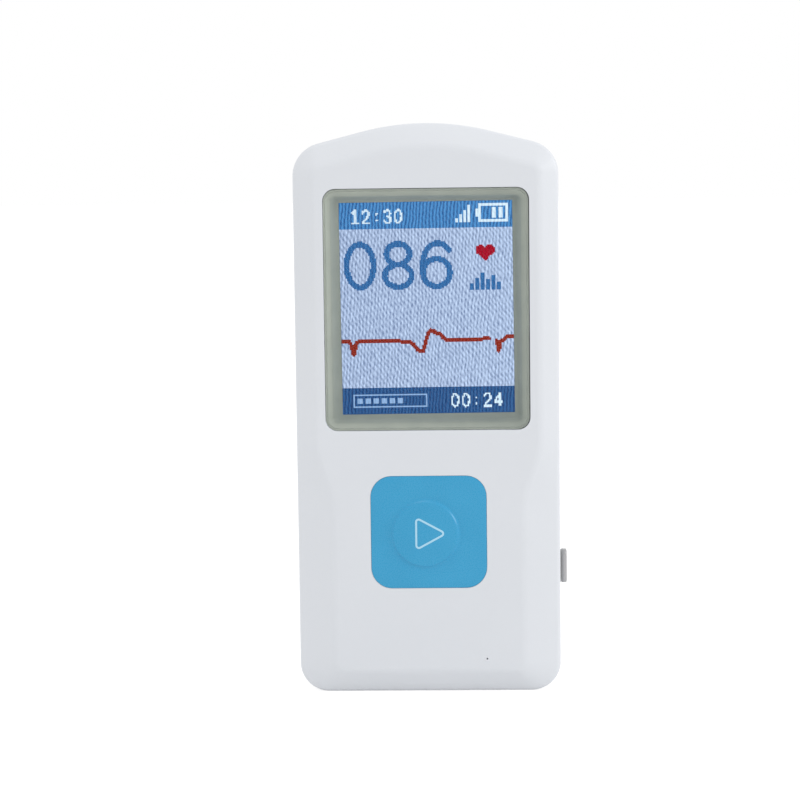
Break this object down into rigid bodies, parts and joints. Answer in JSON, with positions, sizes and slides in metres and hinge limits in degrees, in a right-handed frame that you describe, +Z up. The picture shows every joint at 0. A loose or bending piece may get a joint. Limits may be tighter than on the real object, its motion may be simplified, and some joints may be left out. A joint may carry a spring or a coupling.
{
  "type": "handheld ecg monitor",
  "caption": "Slim upright handheld ECG monitor: flush display window, film-covered start key, small side button and contact electrodes on the back and side.",
  "frame": {"origin": "middle of the flat bottom end of the case, on the axis of the case's width and depth", "axes": "+Z up the case towards the arched end, +Y from the display towards the back, +X to the viewer's right when the display faces the viewer"},
  "size_m": [0.0446, 0.0154, 0.0943],
  "materials": {
    "case_white": "satin",
    "window_clear": "polished",
    "window_grey": "satin",
    "display_panel": "polished",
    "film_blue": "satin",
    "inner_white": "matte",
    "black_plastic": "matte",
    "foam": "matte",
    "board": "satin",
    "button_metal": "satin",
    "steel": "satin",
    "pouch_foil": "satin",
    "contact_brass": "satin",
    "flex_amber": "satin",
    "ceramic": "matte",
    "lead_sleeve": "satin"
  },
  "bodies": {
    "case": {"front_cover": "case_white", "rear_cover": "case_white", "window_lens": "window_clear", "lens_adhesive": "window_grey", "display_mask": "window_grey", "display_glass": "display_panel", "display_frame": "inner_white", "display_pad": "foam", "display_flex": "flex_amber", "flex_connector": "black_plastic", "key_film": "film_blue", "start_switch": "steel", "side_switch": "steel", "main_board": "board", "processor_chip": "black_plastic", "amplifier_chip": "black_plastic", "memory_chip": "black_plastic", "radio_module": "steel", "clock_crystal": "steel", "small_components": "ceramic", "buzzer": "black_plastic", "buzzer_gasket": "foam", "charging_socket": "steel", "socket_tongue": "black_plastic", "battery_cell": "pouch_foil", "battery_board": "board", "battery_pad": "foam", "battery_leads": "lead_sleeve", "battery_connector": "inner_white", "upper_electrode": "steel", "lower_electrode": "steel", "side_electrode": "steel", "electrode_nuts": "steel", "contact_barrels": "contact_brass", "contact_pins": "contact_brass", "side_contact": "contact_brass", "case_screws": "steel", "board_screws": "steel"},
    "start_key": {"key_dome": "film_blue", "key_plunger": "inner_white", "start_switch_stem": "black_plastic"},
    "side_key": {"side_button": "button_metal", "side_switch_stem": "black_plastic"}
  },
  "joints": [
    {"name": "start_key_press", "type": "slide", "parent": "case", "child": "start_key", "axis": [0, 1, 0], "range_m": [0, 0.0003], "stiffness_N_per_m": 1500, "springref_m": -0.0005},
    {"name": "side_button_press", "type": "slide", "parent": "case", "child": "side_key", "axis": [-1, 0, 0], "range_m": [0, 0.0004], "stiffness_N_per_m": 1500, "springref_m": -0.0005}
  ]
}
